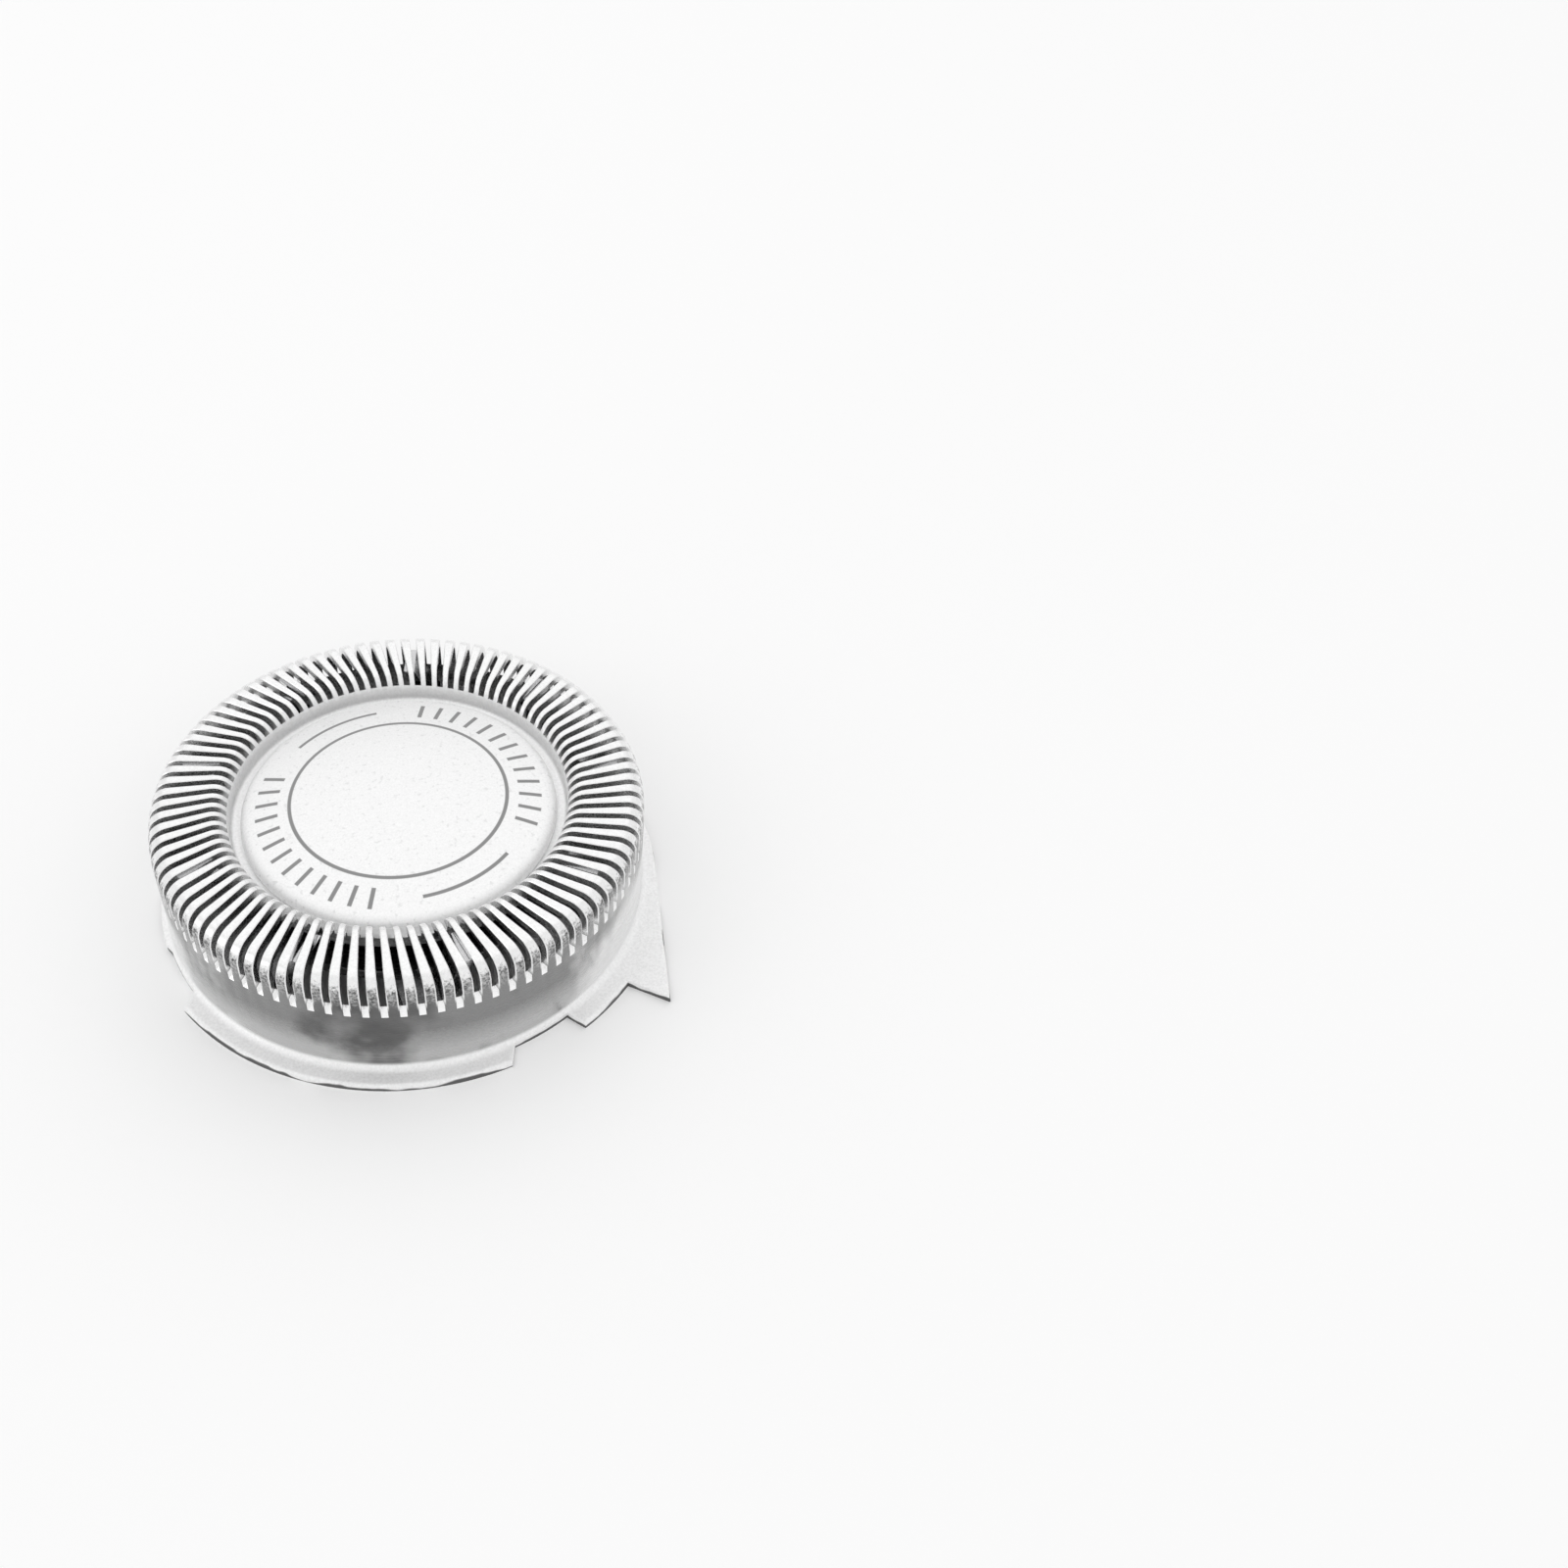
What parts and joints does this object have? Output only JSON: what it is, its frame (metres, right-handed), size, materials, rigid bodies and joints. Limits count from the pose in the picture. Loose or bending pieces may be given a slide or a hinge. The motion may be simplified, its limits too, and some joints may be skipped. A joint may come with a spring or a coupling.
{
  "type": "rotary shaver head",
  "caption": "Round shaving head: a slotted steel guard with a keyed flange and a domed centre disc, over a bladed cutter that spins under the slots.",
  "frame": {"origin": "on the spin axis, in the plane of the flange's underside, at the mouth of the drive socket", "axes": "+Z along the spin axis, out of the shaving face; +X through the middle of the plain side of the flange between the lobe and the rear; azimuths run anticlockwise from +X as seen from the face"},
  "size_m": [0.0238, 0.0245, 0.006],
  "materials": {
    "guard_steel": "bright ground stainless steel",
    "disc_steel": "fine satin stainless steel with grey printed lines",
    "bearing_plastic": "smooth moulded plastic",
    "cutter_steel": "ground stainless steel",
    "hub_plastic": "smooth moulded plastic"
  },
  "bodies": {
    "guard": {"guard_shell": "guard_steel", "centre_disc": "disc_steel", "guide_bearing": "bearing_plastic"},
    "cutter": {"cutter_ring": "cutter_steel", "drive_hub": "hub_plastic"}
  },
  "joints": [
    {"name": "cutter_spin", "type": "hinge", "parent": "guard", "child": "cutter", "pos_m": [0, 0, 0], "axis": [0, 0, 1], "continuous": true}
  ]
}
